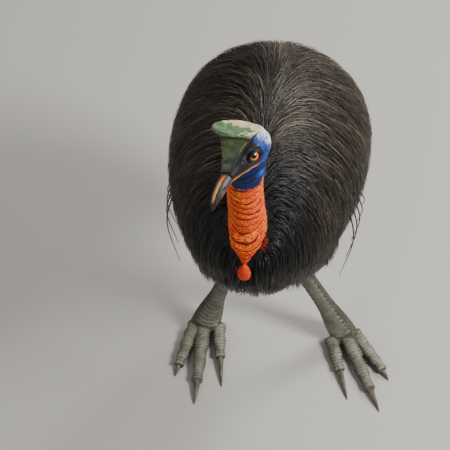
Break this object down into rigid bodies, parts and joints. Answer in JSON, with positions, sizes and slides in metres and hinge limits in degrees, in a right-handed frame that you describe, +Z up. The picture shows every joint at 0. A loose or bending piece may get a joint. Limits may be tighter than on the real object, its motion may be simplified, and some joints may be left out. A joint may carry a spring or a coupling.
{
  "type": "cassowary",
  "caption": "Life-size still model of a cassowary standing on both feet, with a casque, a bare neck with a wattle, bristly plumage and clawed toes.",
  "frame": {"origin": "middle of the bounding box, on the floor the bird stands on", "axes": "+Z up; the bird faces -Y; +X is its own left side"},
  "size_m": [0.5624, 0.9534, 1.3665],
  "materials": {
    "plumage": "long black-brown bristly feathers, matt with a soft sheen",
    "orange_skin": "bare granular skin in slack folds, matt",
    "red_skin": "bare granular skin, matt",
    "blue_skin": "bare smooth skin, satin",
    "casque_horn": "olive-green horn, mottled, satin",
    "bill_horn": "dark horn, satin",
    "eyeball": "wet orange-red eye with a black pupil",
    "quill_horn": "black horn, satin",
    "leg_scale": "olive-grey scutes, matt",
    "claw_horn": "dark horn, satin"
  },
  "bodies": {
    "root": {"torso": "plumage", "tail": "plumage", "neck_base": "plumage", "thigh_left": "plumage", "thigh_right": "plumage", "neck": "orange_skin", "wattle": "red_skin", "head": "blue_skin", "casque": "casque_horn", "bill_upper": "bill_horn", "bill_lower": "bill_horn", "eye_left": "eyeball", "wing_left": "quill_horn", "shank_left": "leg_scale", "toe_inner_left": "leg_scale", "claw_inner_left": "claw_horn", "toe_middle_left": "leg_scale", "claw_middle_left": "claw_horn", "toe_outer_left": "leg_scale", "claw_outer_left": "claw_horn", "eye_right": "eyeball", "wing_right": "quill_horn", "shank_right": "leg_scale", "toe_inner_right": "leg_scale", "claw_inner_right": "claw_horn", "toe_middle_right": "leg_scale", "claw_middle_right": "claw_horn", "toe_outer_right": "leg_scale", "claw_outer_right": "claw_horn"}
  },
  "joints": []
}
